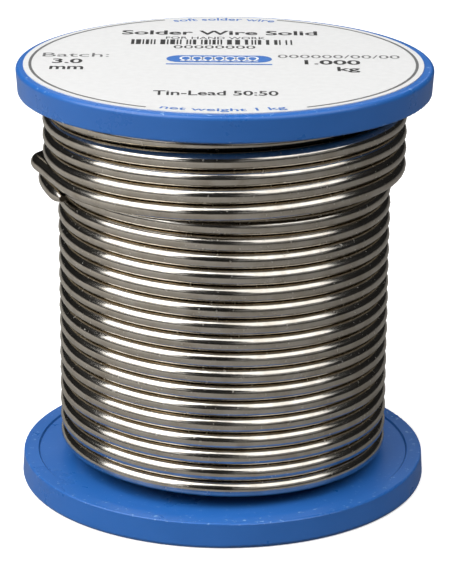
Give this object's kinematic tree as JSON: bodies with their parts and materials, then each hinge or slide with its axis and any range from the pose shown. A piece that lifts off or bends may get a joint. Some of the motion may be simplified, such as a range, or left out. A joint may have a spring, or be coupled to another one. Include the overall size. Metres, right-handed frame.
{
  "type": "solder wire spool",
  "caption": "Blue plastic reel, 75 mm across, wound with about 15 m of 3 mm tin-lead solder wire, round paper label on top.",
  "frame": {"origin": "centre of the lower flange's outer face, on the plane that the reel stands on", "axes": "+Z along the spindle axis, from the open end of the bore to the label; the loose end of the wire leaves at -X"},
  "size_m": [0.075, 0.075, 0.0786],
  "materials": {
    "reel": "satin",
    "wire": "bright",
    "label": "matt"
  },
  "bodies": {
    "root": {"flange_lower": "reel", "flange_upper": "reel", "barrel_tube": "reel", "label_disc": "label", "wire_layer_1": "wire", "wire_layer_2": "wire", "wire_layer_3": "wire", "wire_layer_4": "wire", "wire_outer_turns": "wire", "wire_loose_end": "wire"}
  },
  "joints": []
}
